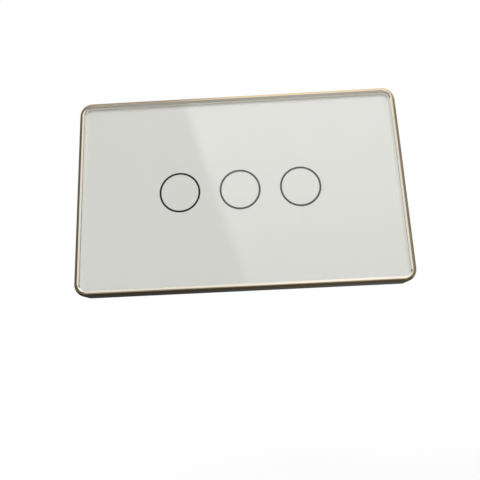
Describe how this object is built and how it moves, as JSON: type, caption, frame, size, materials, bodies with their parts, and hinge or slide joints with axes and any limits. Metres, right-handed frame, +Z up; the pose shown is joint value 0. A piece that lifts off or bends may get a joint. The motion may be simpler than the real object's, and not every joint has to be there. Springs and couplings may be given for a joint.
{
  "type": "touch light switch",
  "caption": "Wall touch light switch: a white-backed glass face with ring-marked touch zones in a thin gold metal frame, clipped over a wall base that holds relays and screw terminals.",
  "frame": {"origin": "in the wall plane, midway between the two wall screws", "axes": "+X to the right along the plate, +Y into the wall, +Z up the plate; the glass looks along -Y"},
  "size_m": [0.118, 0.0355, 0.072],
  "materials": {
    "champagne_metal": "champagne gold anodised, satin",
    "clear_glass": "tempered, polished edge",
    "white_print": "screen printed white behind the glass",
    "ring_smoke": "grey translucent ink",
    "foam_tape": "double-sided foam tape",
    "carrier_plastic": "moulded polycarbonate",
    "white_plastic": "moulded flame-retardant polycarbonate",
    "zinc_steel": "zinc plated",
    "circuit_board": "green solder mask on glass-fibre board",
    "spring_steel": "nickel plated wire",
    "milky_acrylic": "milky light-guide acrylic",
    "led_resin": "phosphor-filled resin",
    "black_resin": "moulded epoxy",
    "relay_cover": "moulded polyester cover",
    "soft_iron": "nickel plated soft iron",
    "contact_bronze": "rolled bronze",
    "bobbin_nylon": "moulded nylon",
    "copper_wire": "enamelled copper",
    "tinned_copper": "tin plated copper",
    "ferrite": "sintered ferrite",
    "amber_tape": "polyester tape over windings",
    "yellow_film": "moulded box",
    "fuse_glass": "glass tube with plated caps",
    "blue_epoxy": "dipped epoxy",
    "terminal_plastic": "moulded nylon",
    "terminal_brass": "turned brass",
    "plated_steel": "zinc plated"
  },
  "bodies": {
    "base": {"base_frame": "white_plastic", "rear_housing": "white_plastic", "housing_screws": "zinc_steel", "board_screws": "zinc_steel", "touch_board": "circuit_board", "power_board": "circuit_board", "touch_spring_left": "spring_steel", "touch_spring_middle": "spring_steel", "touch_spring_right": "spring_steel", "light_guide_left": "milky_acrylic", "light_guide_middle": "milky_acrylic", "light_guide_right": "milky_acrylic", "indicator_leds": "led_resin", "touch_board_chips": "black_resin", "header_pins": "black_resin", "header_socket": "black_resin", "bridge_rectifier": "black_resin", "storage_capacitors": "black_resin", "relay_base_left": "black_resin", "relay_base_middle": "black_resin", "relay_base_right": "black_resin", "relay_case_left": "relay_cover", "relay_case_middle": "relay_cover", "relay_case_right": "relay_cover", "relay_yokes": "soft_iron", "relay_cores": "soft_iron", "relay_bobbins": "bobbin_nylon", "relay_windings": "copper_wire", "relay_pins": "tinned_copper", "terminal_contacts": "tinned_copper", "transformer_core": "ferrite", "transformer_coil": "amber_tape", "film_capacitor": "yellow_film", "fuse": "fuse_glass", "varistor": "blue_epoxy", "terminal_blocks": "terminal_plastic"},
    "face": {"gold_frame": "champagne_metal", "glass_panel": "clear_glass", "white_print": "white_print", "touch_ring_left": "ring_smoke", "touch_ring_middle": "ring_smoke", "touch_ring_right": "ring_smoke", "adhesive_gasket": "foam_tape", "glass_carrier": "carrier_plastic", "frame_screws": "zinc_steel"},
    "armature_left": {"relay_armature_left": "soft_iron", "relay_blade_left": "contact_bronze"},
    "armature_middle": {"relay_armature_middle": "soft_iron", "relay_blade_middle": "contact_bronze"},
    "armature_right": {"relay_armature_right": "soft_iron", "relay_blade_right": "contact_bronze"},
    "screw_1": {"terminal_screw_1": "terminal_brass"},
    "clamp_1": {"terminal_clamp_1": "plated_steel"},
    "screw_2": {"terminal_screw_2": "terminal_brass"},
    "clamp_2": {"terminal_clamp_2": "plated_steel"},
    "screw_3": {"terminal_screw_3": "terminal_brass"},
    "clamp_3": {"terminal_clamp_3": "plated_steel"},
    "screw_4": {"terminal_screw_4": "terminal_brass"},
    "clamp_4": {"terminal_clamp_4": "plated_steel"}
  },
  "joints": [
    {"name": "face_pull", "type": "slide", "parent": "base", "child": "face", "axis": [0, -1, 0], "range_m": [0, 0.025]},
    {"name": "relay_pull_left", "type": "hinge", "parent": "base", "child": "armature_left", "pos_m": [-0.014, 0.0201, -0.0089], "axis": [1, 0, 0], "range_deg": [0, 2.5], "stiffness_Nm_per_rad": 0.002},
    {"name": "relay_pull_middle", "type": "hinge", "parent": "base", "child": "armature_middle", "pos_m": [0, 0.0201, -0.0089], "axis": [1, 0, 0], "range_deg": [0, 2.5], "stiffness_Nm_per_rad": 0.002},
    {"name": "relay_pull_right", "type": "hinge", "parent": "base", "child": "armature_right", "pos_m": [0.014, 0.0201, -0.0089], "axis": [1, 0, 0], "range_deg": [0, 2.5], "stiffness_Nm_per_rad": 0.002},
    {"name": "clamp_rise_1", "type": "slide", "parent": "base", "child": "clamp_1", "axis": [0, 1, 0], "range_m": [0, 0.002]},
    {"name": "screw_turn_1", "type": "hinge", "parent": "base", "child": "screw_1", "pos_m": [-0.0114, 0.0209, -0.017], "axis": [0, -1, 0], "range_deg": [0, 1440]},
    {"name": "clamp_rise_2", "type": "slide", "parent": "base", "child": "clamp_2", "axis": [0, 1, 0], "range_m": [0, 0.002]},
    {"name": "screw_turn_2", "type": "hinge", "parent": "base", "child": "screw_2", "pos_m": [-0.0038, 0.0209, -0.017], "axis": [0, -1, 0], "range_deg": [0, 1440]},
    {"name": "clamp_rise_3", "type": "slide", "parent": "base", "child": "clamp_3", "axis": [0, 1, 0], "range_m": [0, 0.002]},
    {"name": "screw_turn_3", "type": "hinge", "parent": "base", "child": "screw_3", "pos_m": [0.0038, 0.0209, -0.017], "axis": [0, -1, 0], "range_deg": [0, 1440]},
    {"name": "clamp_rise_4", "type": "slide", "parent": "base", "child": "clamp_4", "axis": [0, 1, 0], "range_m": [0, 0.002]},
    {"name": "screw_turn_4", "type": "hinge", "parent": "base", "child": "screw_4", "pos_m": [0.0114, 0.0209, -0.017], "axis": [0, -1, 0], "range_deg": [0, 1440]}
  ],
  "couplings": [
    {"joint": "screw_turn_1", "follows": "clamp_rise_1", "rad_per_m": 12566},
    {"joint": "screw_turn_2", "follows": "clamp_rise_2", "rad_per_m": 12566},
    {"joint": "screw_turn_3", "follows": "clamp_rise_3", "rad_per_m": 12566},
    {"joint": "screw_turn_4", "follows": "clamp_rise_4", "rad_per_m": 12566}
  ]
}
